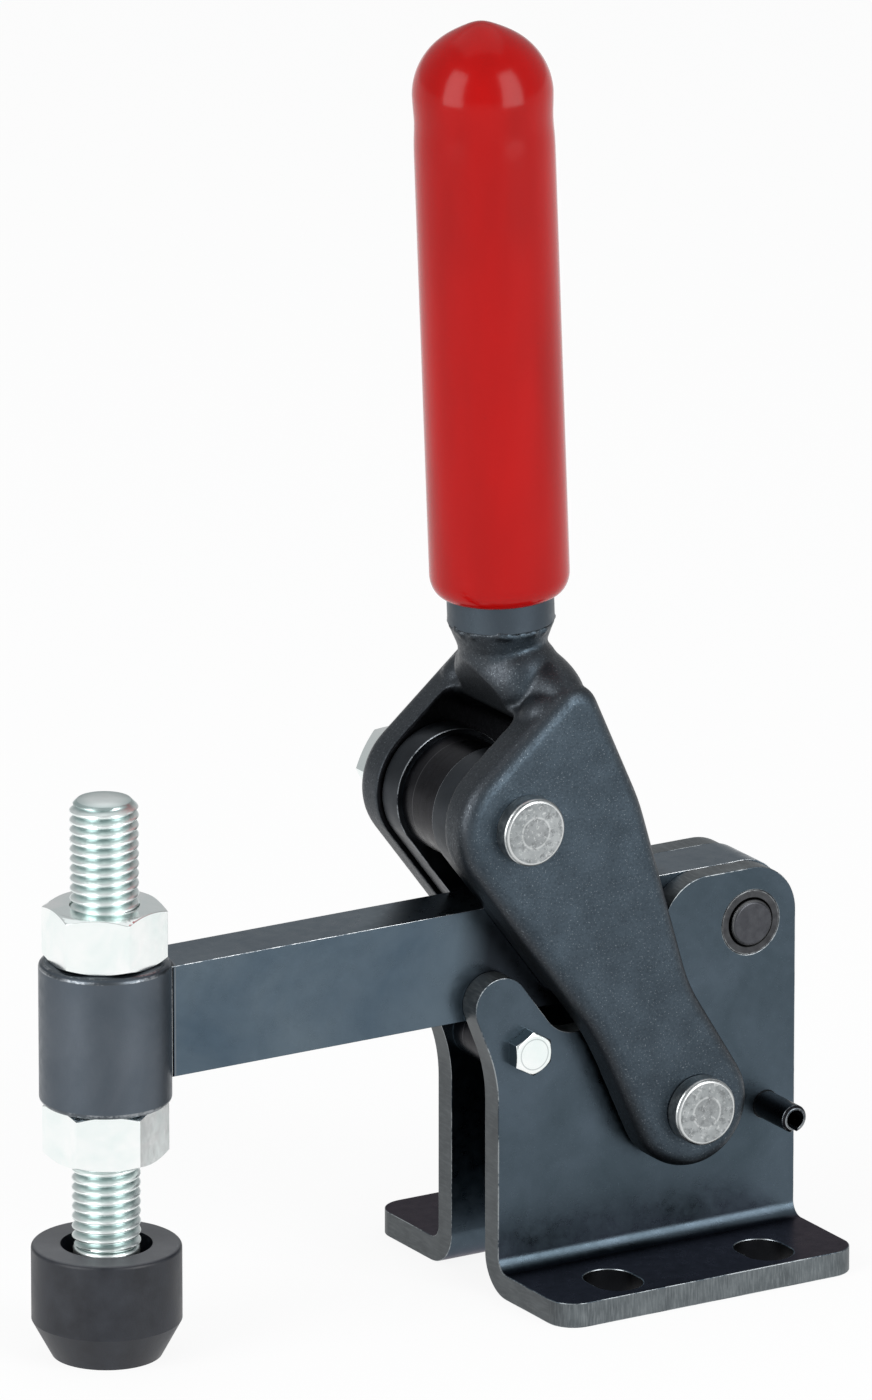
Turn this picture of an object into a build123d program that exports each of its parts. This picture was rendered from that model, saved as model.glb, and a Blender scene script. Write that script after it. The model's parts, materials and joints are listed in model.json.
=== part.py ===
"""Push-down toggle clamp with a solid arm, a forged handle fork and a capped spindle.

Millimetres, +Z up. The arm points along -X, the near side is -Y, and the origin is the
middle of the four slots, on the underside of the flanges. The linkage is locked.
"""
from build123d import *
from math import asin, atan2, cos, hypot, pi, radians, sin
import os

# ---- Pivots and pins, as seen from the side -------------------------------------
BASE_LENGTH = 61.0
HANDLE_PIVOT_X, HANDLE_PIVOT_Z = 5.0, 31.0       # fork on the base plates
LINK_PIVOT_X, LINK_PIVOT_Z = -30.0, 88.0         # link plates in the fork
ARM_PIVOT_INSET, ARM_PIVOT_Z = 9.3, 60.0         # arm in the plates, from their rear edge
STOP_INSET, STOP_Z = 5.7, 44.3                   # stop under the arm, from the front edge
SPRING_PIN_INSET, SPRING_PIN_Z = 6.0, 25.8       # stops the opened fork, from the rear edge
SPINDLE_X = -103.6

# ---- Fits -----------------------------------------------------------------------
RUNNING_FIT = 0.05                               # radial, pin in a bore that turns
ARM_SIDE_GAP = 0.1                               # arm to each base plate
LINK_SIDE_GAP = 0.3                              # arm to each link plate
FORK_SIDE_GAP = 0.4                              # link plate to fork cheek
PIN_END_GAP = 0.2                                # fork cheek to the pivot pin's head and nut
STOP_GAP = 0.3                                   # arm to the stop sleeve when locked

# ---- Base plates ----------------------------------------------------------------
BASE_WIDTH = 64.0                                # over both flanges
PLATE_THICKNESS = 4.5
BEND_RADIUS = 2.5                                # inside of the bend
FLANGE_CORNER_RADIUS = 5.0
SLOT_END_INSET = 15.0                            # slot centres from the plate's ends
SLOT_SIDE_INSET = 8.0                            # slot centres from the flange's side
SLOT_WIDTH = 9.0
SLOT_LENGTH = 12.0                               # along Y
WEB_HEIGHT = 46.0                                # valley between horn and ear
EAR_RADIUS = 9.0
EAR_RISE = 1.0                                   # ear centre above the arm pivot
EAR_LENGTH = 27.3
HORN_RADIUS = 5.3
HORN_FORWARD, HORN_RISE = 5.0, 8.7               # horn centre from the stop bolt
HORN_HOLLOW = 7.0                                # hollow between horn and valley
HORN_FLANK = 54.0                                # degrees, steepness of the flank between them
EAR_HOLLOW = 5.5                                 # hollow between valley and ear
FRONT_SWEEP = 28.0                               # radius of the sweep up into the horn
FRONT_SWEEP_Z = 35.0

# ---- Arm, boss and spindle ------------------------------------------------------
ARM_HEIGHT = 20.0
ARM_THICKNESS = 11.0
ARM_TAIL = 9.2                                   # beyond the arm pivot
ARM_TAIL_RADIUS = 8.0
BOSS_RADIUS = 11.5
BOSS_BELOW, BOSS_ABOVE = 14.0, 11.5              # boss ends from the arm's centre line
BOSS_CHAMFER = 0.7
SPINDLE_RADIUS = 6.0
SPINDLE_TOP_Z = 100.4
SPINDLE_END_CHAMFER = 1.4
SPINDLE_NUT_WIDTH = 19.0                         # across flats
SPINDLE_NUT_HEIGHT = 10.0
UPPER_NUT_TURN, LOWER_NUT_TURN = 22.6, 32.6      # degrees, one corner from +X
NECK_RADIUS = 5.2
HEAD_WIDTH = 19.0                                # across flats
HEAD_HEIGHT = 7.5
CAP_HEIGHT = 20.0
CAP_RADIUS = 13.1
CAP_FOOT_RADIUS = 9.6
CAP_TAPER_HEIGHT = 6.5
CAP_MOUTH_RADIUS = 8.0
CAP_SOLE = 5.0                                   # rubber under the head
CAP_RIM = 0.7                                    # rounding of the top rim

# ---- Pins, bushes and bolts -----------------------------------------------------
ARM_PIN_RADIUS = 4.2
ARM_PIN_STANDOUT = 0.8                           # beyond each base plate
BUSH_RADIUS = 5.9
BUSH_CHAMFER = 0.2
TOGGLE_PIN_RADIUS = 5.0
PIVOT_PIN_RADIUS = 5.0                           # handle pivot pin and link pin
PIN_HEAD_RADIUS = 6.1
PIN_HEAD_HEIGHT = 3.2
PIN_THREAD_RADIUS = 4.0
PIN_NUT_WIDTH = 13.0                             # across flats
PIN_NUT_HEIGHT = 8.5
PIN_THREAD_END = 0.6                             # thread standing past its nut
STOP_BOLT_RADIUS = 2.0
STOP_HEAD_WIDTH = 7.0                            # across flats
STOP_HEAD_HEIGHT = 2.8
STOP_HEAD_TURN = 30.0                            # degrees, one corner up
STOP_NUT_HEIGHT = 3.2
SPRING_PIN_RADIUS = 2.5
SPRING_PIN_WALL = 0.8
SPRING_PIN_SLOT = 1.0
SPRING_PIN_LENGTH = 40.0
EDGE_CHAMFER = 0.5

# ---- Link -----------------------------------------------------------------------
LINK_THICKNESS = 5.0
LINK_TOP_RADIUS = 11.5
LINK_FOOT_RADIUS = 8.5
LINK_SLEEVE_RADIUS = 10.45

# ---- Fork and handle ------------------------------------------------------------
CHEEK_THICKNESS = 7.3
CHEEK_TOP_RADIUS = 12.3                          # round the link pin
CHEEK_FOOT_RADIUS = 11.3                         # round the handle pivot pin
CHEEK_RIM = 3.0
WAIST_RADIUS = 60.0                              # hollow front edge
WAIST_DEPTH = 2.6
WAIST_REACH = 24.1                               # its middle from the handle pivot
KNEE_RADIUS = 30.0                               # hollow rear edge
KNEE_X, KNEE_Z = 27.2, 34.7                      # its centre from the handle pivot
BACK_RADIUS = 40.0                               # full rear edge
BACK_X, BACK_Z = -13.4, -13.0                    # its centre from the link pivot
SHOULDER_RADIUS = 5.0
SHOULDER_X, SHOULDER_Z = 10.8, 18.6              # its centre from the link pivot
WINDOW_X, WINDOW_Z = 3.5, 16.7                   # window's lip from the link pivot
WINDOW_REAR_FALL = 27.5                          # degrees below level, going back
WINDOW_FRONT_RISE = 62.0                         # degrees above level, going forward
WINDOW_ROUNDING = 2.5
CROWN_LENGTH, CROWN_WIDTH, CROWN_HEIGHT = 14.0, 36.0, 15.0
CROWN_X, CROWN_Z = 10.3, 20.3                    # its centre from the link pivot
NOSE_LENGTH, NOSE_WIDTH, NOSE_HEIGHT = 17.0, 23.0, 16.0
NOSE_X, NOSE_Z = 7.6, 22.6                       # its centre from the link pivot
FORK_NECK_RADIUS = 7.7
WELD_HEIGHT = 4.2                                # tapers from the tube to the neck
TUBE_FOOT_X, TUBE_FOOT_Z = 6.1, 32.0             # tube's lower end from the link pivot
HANDLE_LEAN = 2.3                                # degrees, towards the arm
TUBE_RADIUS = 9.35
TUBE_WALL = 2.4
SPIGOT_LENGTH = 22.0
TUBE_LENGTH = 94.9
GRIP_START = 5.0                                 # above the tube's lower end
GRIP_WALL = 2.85
GRIP_LIP_FLAT = 0.15                             # left square inside the rounded lip
GRIP_TIP_RADIUS = 2.6
GRIP_TIP_HEIGHT = 0.9                            # drip above the dome

# ---- Derived across the clamp ---------------------------------------------------
PLATE_INNER = ARM_THICKNESS / 2 + ARM_SIDE_GAP
PLATE_OUTER = PLATE_INNER + PLATE_THICKNESS
LINK_INNER = ARM_THICKNESS / 2 + LINK_SIDE_GAP
LINK_OUTER = LINK_INNER + LINK_THICKNESS
CHEEK_INNER = LINK_OUTER + FORK_SIDE_GAP
CHEEK_OUTER = CHEEK_INNER + CHEEK_THICKNESS
GRIP_RADIUS = TUBE_RADIUS + GRIP_WALL
OVERSIZE = 1.0                                   # how far a cutter stands past its work
ON_END = (Align.CENTER, Align.CENTER, Align.MIN)
HANGING = (Align.CENTER, Align.CENTER, Align.MAX)

REAR_EDGE = BASE_LENGTH / 2
HANDLE_PIVOT = (HANDLE_PIVOT_X, HANDLE_PIVOT_Z)
LINK_PIVOT = (LINK_PIVOT_X, LINK_PIVOT_Z)
ARM_PIVOT = (REAR_EDGE - ARM_PIVOT_INSET, ARM_PIVOT_Z)
STOP = (STOP_INSET - REAR_EDGE, STOP_Z)
SPRING_PIN = (REAR_EDGE - SPRING_PIN_INSET, SPRING_PIN_Z)


def between(start, end, share):
    """Point a share of the way from start to end."""
    return tuple(a + (b - a) * share for a, b in zip(start, end))


# The locked linkage is straight: the toggle pin is where the line through the handle and
# link pivots crosses the arm's centre line.
TOGGLE_PIVOT = between(
    HANDLE_PIVOT, LINK_PIVOT, (ARM_PIVOT_Z - HANDLE_PIVOT_Z) / (LINK_PIVOT_Z - HANDLE_PIVOT_Z)
)
ARM_BOTTOM = ARM_PIVOT_Z - ARM_HEIGHT / 2
ARM_TOP = ARM_PIVOT_Z + ARM_HEIGHT / 2
BOSS_BOTTOM = ARM_PIVOT_Z - BOSS_BELOW
BOSS_TOP = ARM_PIVOT_Z + BOSS_ABOVE


# ---- Shared shapes --------------------------------------------------------------
def belt(circles):
    """Face inside a belt that runs round circles (x, y, radius), anticlockwise.

    A negative radius is a hollow that the belt passes on its other side, and a zero
    radius is a sharp corner.
    """
    runs = []
    for (x0, y0, r0), (x1, y1, r1) in zip(circles, circles[1:] + circles[:1]):
        heading = atan2(y1 - y0, x1 - x0) - asin((r1 - r0) / hypot(x1 - x0, y1 - y0))
        outward = Vector(sin(heading), -cos(heading))
        runs.append((Vector(x0, y0) + outward * r0, Vector(x1, y1) + outward * r1, heading))
    edges = []
    for i, (x, y, radius) in enumerate(circles):
        before, after = runs[i - 1], runs[i]
        if radius:
            turn = (after[2] - before[2]) % (2 * pi)
            if radius < 0:
                turn -= 2 * pi
            middle = before[2] + turn / 2
            top = Vector(x, y) + Vector(sin(middle), -cos(middle)) * radius
            edges.append(ThreePointArc(before[1], top, after[0]))
        edges.append(Line(after[0], after[1]))
    return make_face(edges)


def slab(side_view, y_low, y_high):
    """Side view (x, z) made solid between two distances across the clamp."""
    plane = Plane(origin=(0, y_high, 0), x_dir=(1, 0, 0), z_dir=(0, -1, 0))
    return extrude(plane * side_view, y_high - y_low)


def rod(place, radius, y_low, y_high):
    """Round bar across the clamp."""
    plane = Plane(origin=(place[0], y_low, place[1]), x_dir=(1, 0, 0), z_dir=(0, 1, 0))
    return plane * Cylinder(radius, y_high - y_low, align=ON_END)


def post(x, radius, z_low, z_high):
    """Upright round bar on the mid-plane."""
    return Pos(x, 0, z_low) * Cylinder(radius, z_high - z_low, align=ON_END)


def ring_edges(solid, axis, end):
    """Circular edges at one end of a solid: 0 for the low end, -1 for the high end."""
    return solid.edges().filter_by(GeomType.CIRCLE).group_by(axis)[end]


def hexagon(width, height, turn=0.0, ends=(True, True)):
    """Hexagonal prism up from the origin, its corners turned off at the given ends."""
    corner = width / 2 / cos(radians(30))
    blank = Cylinder(corner, height, align=ON_END)
    bevel = corner - width / 2 + EDGE_CHAMFER / 2
    for end, wanted in zip((0, -1), ends):
        if wanted:
            blank = chamfer(ring_edges(blank, Axis.Z, end), bevel * sin(radians(30)), bevel)
    prism = extrude(RegularPolygon(width / 2, 6, major_radius=False, rotation=turn), height)
    return prism & blank


def turned_across(shape, place, y_start, towards=1):
    """Shape built up from the origin along Z, laid across the clamp at y_start."""
    return Plane(
        origin=(place[0], y_start, place[1]), x_dir=(1, 0, 0), z_dir=(0, towards, 0)
    ) * shape


def mirrored(shape):
    """The same piece on the far side."""
    return mirror(shape, about=Plane.XZ)


# ---- Base -----------------------------------------------------------------------
def base_plate():
    """Near plate: a profiled web bent out into a slotted flange."""
    horn_x = STOP[0] - HORN_FORWARD
    horn_hollow_x = horn_x + (HORN_RADIUS + HORN_HOLLOW) / sin(radians(HORN_FLANK))
    ear_z = ARM_PIVOT_Z + EAR_RISE
    side = belt([
        (REAR_EDGE, 0, 0),
        (REAR_EDGE - EAR_RADIUS, ear_z, EAR_RADIUS),
        (REAR_EDGE - EAR_LENGTH + EAR_RADIUS, ear_z, EAR_RADIUS),
        (REAR_EDGE - EAR_LENGTH - EAR_HOLLOW, WEB_HEIGHT + EAR_HOLLOW, -EAR_HOLLOW),
        (horn_hollow_x, WEB_HEIGHT + HORN_HOLLOW, -HORN_HOLLOW),
        (horn_x, STOP_Z + HORN_RISE, HORN_RADIUS),
        (-REAR_EDGE - FRONT_SWEEP, FRONT_SWEEP_Z, -FRONT_SWEEP),
        (-REAR_EDGE, 0, 0),
    ])
    outer_bend = BEND_RADIUS + PLATE_THICKNESS
    top = ear_z + EAR_RADIUS + OVERSIZE
    section = belt([
        (-BASE_WIDTH / 2, 0, 0),
        (-PLATE_INNER - outer_bend, outer_bend, outer_bend),
        (-PLATE_INNER, top, 0),
        (-PLATE_OUTER, top, 0),
        (-PLATE_OUTER - BEND_RADIUS, outer_bend, -BEND_RADIUS),
        (-BASE_WIDTH / 2, PLATE_THICKNESS, 0),
    ])
    plate = extrude(Plane.YZ * section, BASE_LENGTH, both=True) & slab(side, -BASE_WIDTH / 2, 0)
    plate = fillet(plate.edges().filter_by(Axis.Z).group_by(Axis.Y)[0], FLANGE_CORNER_RADIUS)
    slot = extrude(SlotOverall(SLOT_LENGTH, SLOT_WIDTH, rotation=90), PLATE_THICKNESS)
    for x in (SLOT_END_INSET - REAR_EDGE, REAR_EDGE - SLOT_END_INSET):
        plate -= Pos(x, SLOT_SIDE_INSET - BASE_WIDTH / 2, 0) * slot
    holes = [
        (HANDLE_PIVOT, PIVOT_PIN_RADIUS),
        (ARM_PIVOT, BUSH_RADIUS),
        (STOP, STOP_BOLT_RADIUS),
        (SPRING_PIN, SPRING_PIN_RADIUS),
    ]
    for place, radius in holes:
        plate -= rod(place, radius, -PLATE_OUTER - OVERSIZE, 0)
    return plate


def bush():
    """Near bush for the arm pin, flush with both faces of its plate."""
    ring = rod(ARM_PIVOT, BUSH_RADIUS, -PLATE_OUTER, -PLATE_INNER)
    ring -= rod(ARM_PIVOT, ARM_PIN_RADIUS + RUNNING_FIT, -PLATE_OUTER, -PLATE_INNER)
    outer_rims = ring_edges(ring, Axis.Y, 0).sort_by(SortBy.RADIUS)
    return chamfer(outer_rims[0], BUSH_CHAMFER)


def shouldered_pin(place, y_end):
    """Pin with a round head on the near side and a threaded end on the far side."""
    threaded = rod(place, PIN_THREAD_RADIUS, y_end, y_end + PIN_NUT_HEIGHT + PIN_THREAD_END)
    threaded = chamfer(ring_edges(threaded, Axis.Y, -1), EDGE_CHAMFER)
    head = rod(place, PIN_HEAD_RADIUS, -y_end - PIN_HEAD_HEIGHT, -y_end)
    head = chamfer(ring_edges(head, Axis.Y, 0), EDGE_CHAMFER)
    return rod(place, PIVOT_PIN_RADIUS, -y_end, y_end) + head + threaded


def pin_nut(place, y_start):
    """Nut on the threaded end of a shouldered pin."""
    nut = hexagon(PIN_NUT_WIDTH, PIN_NUT_HEIGHT)
    nut -= Cylinder(PIN_THREAD_RADIUS, PIN_NUT_HEIGHT, align=ON_END)
    return turned_across(nut, place, y_start)


def stop_bolt():
    """Hexagon bolt through both plates, its head on the near side."""
    head = hexagon(STOP_HEAD_WIDTH, STOP_HEAD_HEIGHT, STOP_HEAD_TURN, ends=(False, True))
    head = turned_across(head, STOP, -PLATE_OUTER, -1)
    shank = rod(STOP, STOP_BOLT_RADIUS, -PLATE_OUTER, PLATE_OUTER + STOP_NUT_HEIGHT + EDGE_CHAMFER)
    return head + chamfer(ring_edges(shank, Axis.Y, -1), EDGE_CHAMFER)


def stop_nut():
    """Nut of the stop bolt."""
    nut = hexagon(STOP_HEAD_WIDTH, STOP_NUT_HEIGHT, STOP_HEAD_TURN)
    nut -= Cylinder(STOP_BOLT_RADIUS, STOP_NUT_HEIGHT, align=ON_END)
    return turned_across(nut, STOP, PLATE_OUTER)


def stop_sleeve():
    """Spacer between the plates that the lowered arm stops on."""
    radius = ARM_BOTTOM - STOP_GAP - STOP_Z
    sleeve = rod(STOP, radius, -PLATE_INNER, PLATE_INNER)
    return sleeve - rod(STOP, STOP_BOLT_RADIUS, -PLATE_INNER, PLATE_INNER)


def spring_pin():
    """Rolled pin with its slot facing down."""
    half = SPRING_PIN_LENGTH / 2
    pin = rod(SPRING_PIN, SPRING_PIN_RADIUS, -half, half)
    pin = chamfer(ring_edges(pin, Axis.Y, 0) + ring_edges(pin, Axis.Y, -1), EDGE_CHAMFER)
    pin -= rod(SPRING_PIN, SPRING_PIN_RADIUS - SPRING_PIN_WALL, -half, half)
    slot = Box(SPRING_PIN_SLOT, SPRING_PIN_LENGTH, SPRING_PIN_RADIUS, align=HANGING)
    return pin - Pos(SPRING_PIN[0], 0, SPRING_PIN[1]) * slot


# ---- Fork and handle ------------------------------------------------------------
def handle_plane():
    """Plane across the tube's lower end, its Z along the leaning handle."""
    lean = radians(HANDLE_LEAN)
    return Plane(
        origin=(LINK_PIVOT_X + TUBE_FOOT_X, 0, LINK_PIVOT_Z + TUBE_FOOT_Z),
        x_dir=(cos(lean), 0, sin(lean)),
        z_dir=(-sin(lean), 0, cos(lean)),
    )


def fork_side():
    """Side view of the fork: two eyes joined by a slim waist, and a shoulder above."""
    along = atan2(LINK_PIVOT_Z - HANDLE_PIVOT_Z, LINK_PIVOT_X - HANDLE_PIVOT_X)
    forward = Vector(-sin(along), cos(along))
    waist = Vector(*HANDLE_PIVOT) + Vector(cos(along), sin(along)) * WAIST_REACH
    waist += forward * (CHEEK_FOOT_RADIUS - WAIST_DEPTH + WAIST_RADIUS)
    return belt([
        (*HANDLE_PIVOT, CHEEK_FOOT_RADIUS),
        (HANDLE_PIVOT_X + KNEE_X, HANDLE_PIVOT_Z + KNEE_Z, -KNEE_RADIUS),
        (LINK_PIVOT_X + BACK_X, LINK_PIVOT_Z + BACK_Z, BACK_RADIUS),
        (LINK_PIVOT_X + SHOULDER_X, LINK_PIVOT_Z + SHOULDER_Z, SHOULDER_RADIUS),
        (*LINK_PIVOT, CHEEK_TOP_RADIUS),
        (waist.X, waist.Y, -WAIST_RADIUS),
    ])


def fork_window():
    """Cutter for the gap between the cheeks, with an arched roof that falls to the rear."""
    lip = Vector(LINK_PIVOT_X + WINDOW_X, LINK_PIVOT_Z + WINDOW_Z)
    reach = LINK_PIVOT_Z
    fall, rise = radians(WINDOW_REAR_FALL), radians(WINDOW_FRONT_RISE)
    rear = lip + Vector(cos(fall), -sin(fall)) * reach
    front = lip + Vector(-cos(rise), sin(rise)) * reach
    outline = Polyline((rear.X, 0), rear, lip, front, (front.X, 0), close=True)
    cutter = slab(make_face(outline), -CHEEK_INNER, CHEEK_INNER)
    edges = cutter.edges()
    square = edges.filter_by(Axis.X) + edges.filter_by(Axis.Y) + edges.filter_by(Axis.Z)
    return fillet(edges - square, WINDOW_ROUNDING)


def ellipsoid(x, z, length, width, height):
    """Rounded mass on the mid-plane, its centre given from the link pivot."""
    mass = scale(Sphere(1), by=(length / 2, width / 2, height / 2))
    return Pos(LINK_PIVOT_X + x, 0, LINK_PIVOT_Z + z) * mass


def fork():
    """Forging: two cheeks, the crown over the window, and the neck with its spigot."""
    body = slab(fork_side(), -CHEEK_OUTER, CHEEK_OUTER)
    rims = body.edges().group_by(Axis.Y)
    body = fillet(rims[0] + rims[-1], CHEEK_RIM)
    body += ellipsoid(CROWN_X, CROWN_Z, CROWN_LENGTH, CROWN_WIDTH, CROWN_HEIGHT)
    body += ellipsoid(NOSE_X, NOSE_Z, NOSE_LENGTH, NOSE_WIDTH, NOSE_HEIGHT)
    handle = handle_plane()
    body += handle * Cone(FORK_NECK_RADIUS, TUBE_RADIUS, WELD_HEIGHT, align=HANGING)
    body += handle * Cylinder(FORK_NECK_RADIUS, TUBE_FOOT_Z - NOSE_Z, align=HANGING)
    body += handle * Cylinder(TUBE_RADIUS - TUBE_WALL, SPIGOT_LENGTH, align=ON_END)
    body -= fork_window()
    body -= rod(LINK_PIVOT, PIVOT_PIN_RADIUS, -CHEEK_OUTER, CHEEK_OUTER)
    return body - rod(HANDLE_PIVOT, PIVOT_PIN_RADIUS + RUNNING_FIT, -CHEEK_OUTER, CHEEK_OUTER)


def handle_tube():
    """Tube over the fork's spigot."""
    tube = Cylinder(TUBE_RADIUS, TUBE_LENGTH, align=ON_END)
    return handle_plane() * (tube - Cylinder(TUBE_RADIUS - TUBE_WALL, TUBE_LENGTH, align=ON_END))


def grip():
    """Dipped grip with a domed end and the drip left on its tip."""
    skin = Pos(0, 0, GRIP_START) * Cylinder(GRIP_RADIUS, TUBE_LENGTH - GRIP_START, align=ON_END)
    skin = fillet(ring_edges(skin, Axis.Z, 0), GRIP_WALL - GRIP_LIP_FLAT)
    skin += Pos(0, 0, TUBE_LENGTH) * Sphere(GRIP_RADIUS, arc_size1=0, align=ON_END)
    drip_z = TUBE_LENGTH + GRIP_RADIUS + GRIP_TIP_HEIGHT - GRIP_TIP_RADIUS
    skin += Pos(0, 0, drip_z) * Sphere(GRIP_TIP_RADIUS)
    return handle_plane() * (skin - Cylinder(TUBE_RADIUS, TUBE_LENGTH, align=ON_END))


# ---- Link -----------------------------------------------------------------------
def link_plate():
    """Near link plate, from the link pin to the toggle pin."""
    plate = slab(
        belt([(*LINK_PIVOT, LINK_TOP_RADIUS), (*TOGGLE_PIVOT, LINK_FOOT_RADIUS)]),
        -LINK_OUTER, -LINK_INNER,
    )
    plate -= rod(LINK_PIVOT, PIVOT_PIN_RADIUS + RUNNING_FIT, -LINK_OUTER, -LINK_INNER)
    return plate - rod(TOGGLE_PIVOT, TOGGLE_PIN_RADIUS, -LINK_OUTER, -LINK_INNER)


def link_sleeve():
    """Sleeve on the link pin that keeps the link plates apart."""
    sleeve = rod(LINK_PIVOT, LINK_SLEEVE_RADIUS, -LINK_INNER, LINK_INNER)
    return sleeve - rod(LINK_PIVOT, PIVOT_PIN_RADIUS + RUNNING_FIT, -LINK_INNER, LINK_INNER)


def toggle_pin_end():
    """Near end of the toggle pin, held in its link plate."""
    end = rod(TOGGLE_PIVOT, TOGGLE_PIN_RADIUS, -LINK_OUTER, -LINK_INNER)
    return chamfer(ring_edges(end, Axis.Y, 0), EDGE_CHAMFER)


# ---- Arm and spindle ------------------------------------------------------------
def arm_bar():
    """Flat bar, coped to the boss in front and rounded behind its pivot."""
    tail = ARM_PIVOT[0] + ARM_TAIL - ARM_TAIL_RADIUS
    lift = ARM_HEIGHT / 2 - ARM_TAIL_RADIUS
    bar = slab(
        belt([
            (SPINDLE_X, ARM_BOTTOM, 0),
            (tail, ARM_PIVOT_Z - lift, ARM_TAIL_RADIUS),
            (tail, ARM_PIVOT_Z + lift, ARM_TAIL_RADIUS),
            (SPINDLE_X, ARM_TOP, 0),
        ]),
        -ARM_THICKNESS / 2, ARM_THICKNESS / 2,
    )
    bar -= post(SPINDLE_X, BOSS_RADIUS, BOSS_BOTTOM, BOSS_TOP)
    bar -= rod(ARM_PIVOT, ARM_PIN_RADIUS, -ARM_THICKNESS, ARM_THICKNESS)
    return bar - rod(TOGGLE_PIVOT, TOGGLE_PIN_RADIUS, -ARM_THICKNESS, ARM_THICKNESS)


def spindle_boss():
    """Round boss welded to the arm, bored for the spindle."""
    boss = post(SPINDLE_X, BOSS_RADIUS, BOSS_BOTTOM, BOSS_TOP)
    boss = chamfer(ring_edges(boss, Axis.Z, 0) + ring_edges(boss, Axis.Z, -1), BOSS_CHAMFER)
    return boss - post(SPINDLE_X, SPINDLE_RADIUS + RUNNING_FIT, BOSS_BOTTOM, BOSS_TOP)


def spindle_nut(z_low, turn):
    """Nut that locks the spindle against one end of the boss."""
    nut = hexagon(SPINDLE_NUT_WIDTH, SPINDLE_NUT_HEIGHT, turn)
    nut -= Cylinder(SPINDLE_RADIUS + RUNNING_FIT, SPINDLE_NUT_HEIGHT, align=ON_END)
    return Pos(SPINDLE_X, 0, z_low) * nut


def arm_pivot_pin():
    """Plain pin fixed in the arm."""
    end = PLATE_OUTER + ARM_PIN_STANDOUT
    pin = rod(ARM_PIVOT, ARM_PIN_RADIUS, -end, end)
    return chamfer(ring_edges(pin, Axis.Y, 0) + ring_edges(pin, Axis.Y, -1), EDGE_CHAMFER)


def toggle_pin():
    """Middle of the toggle pin, fixed in the arm."""
    return rod(TOGGLE_PIVOT, TOGGLE_PIN_RADIUS, -ARM_THICKNESS / 2, ARM_THICKNESS / 2)


def spindle_head():
    """Hexagon head of the spindle, bedded in the cap."""
    head = hexagon(HEAD_WIDTH, HEAD_HEIGHT, LOWER_NUT_TURN)
    return Pos(SPINDLE_X, 0, CAP_SOLE) * head


def spindle():
    """Threaded spindle with a plain neck above its head."""
    shaft = post(SPINDLE_X, SPINDLE_RADIUS, CAP_HEIGHT, SPINDLE_TOP_Z)
    shaft = chamfer(ring_edges(shaft, Axis.Z, -1), SPINDLE_END_CHAMFER)
    neck = post(SPINDLE_X, NECK_RADIUS, CAP_SOLE + HEAD_HEIGHT, CAP_HEIGHT)
    return shaft + neck + spindle_head()


def spindle_cap():
    """Rubber cap over the spindle's head, tapered towards its flat foot."""
    cap = Pos(SPINDLE_X, 0, 0) * Cone(CAP_FOOT_RADIUS, CAP_RADIUS, CAP_TAPER_HEIGHT, align=ON_END)
    cap += post(SPINDLE_X, CAP_RADIUS, CAP_TAPER_HEIGHT, CAP_HEIGHT)
    cap = fillet(ring_edges(cap, Axis.Z, -1), CAP_RIM)
    mouth = post(SPINDLE_X, CAP_MOUTH_RADIUS, CAP_SOLE + HEAD_HEIGHT, CAP_HEIGHT)
    return cap - spindle_head() - mouth


# ---- Write the nodes ------------------------------------------------------------
def nodes():
    """Every piece by its node name."""
    plate, ring, link, stub = base_plate(), bush(), link_plate(), toggle_pin_end()
    pivot_end = CHEEK_OUTER + PIN_END_GAP
    return {
        "near_base_plate": plate,
        "far_base_plate": mirrored(plate),
        "near_arm_bush": ring,
        "far_arm_bush": mirrored(ring),
        "handle_pivot_pin": shouldered_pin(HANDLE_PIVOT, pivot_end),
        "handle_pivot_nut": pin_nut(HANDLE_PIVOT, pivot_end),
        "stop_bolt": stop_bolt(),
        "stop_sleeve": stop_sleeve(),
        "stop_nut": stop_nut(),
        "spring_pin": spring_pin(),
        "fork": fork(),
        "handle_tube": handle_tube(),
        "grip": grip(),
        "link_pin": shouldered_pin(LINK_PIVOT, CHEEK_OUTER),
        "link_pin_nut": pin_nut(LINK_PIVOT, CHEEK_OUTER),
        "near_link_plate": link,
        "far_link_plate": mirrored(link),
        "link_sleeve": link_sleeve(),
        "near_toggle_pin_end": stub,
        "far_toggle_pin_end": mirrored(stub),
        "arm_bar": arm_bar(),
        "spindle_boss": spindle_boss(),
        "upper_spindle_nut": spindle_nut(BOSS_TOP, UPPER_NUT_TURN),
        "lower_spindle_nut": spindle_nut(BOSS_BOTTOM - SPINDLE_NUT_HEIGHT, LOWER_NUT_TURN),
        "arm_pivot_pin": arm_pivot_pin(),
        "toggle_pin": toggle_pin(),
        "spindle": spindle(),
        "spindle_cap": spindle_cap(),
    }


os.makedirs("parts", exist_ok=True)
for name, piece in nodes().items():
    export_step(piece, f"parts/{name}.step")
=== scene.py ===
"""Looks of the toggle clamp: softened edges, a cut thread, finishes, light and camera.

Metres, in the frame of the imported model: +Z up, the arm along -X, the near side -Y.
"""
import json
import random
from math import cos, exp, pi, radians, sin

import bmesh
import bpy
from mathutils import Matrix, Vector

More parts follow.
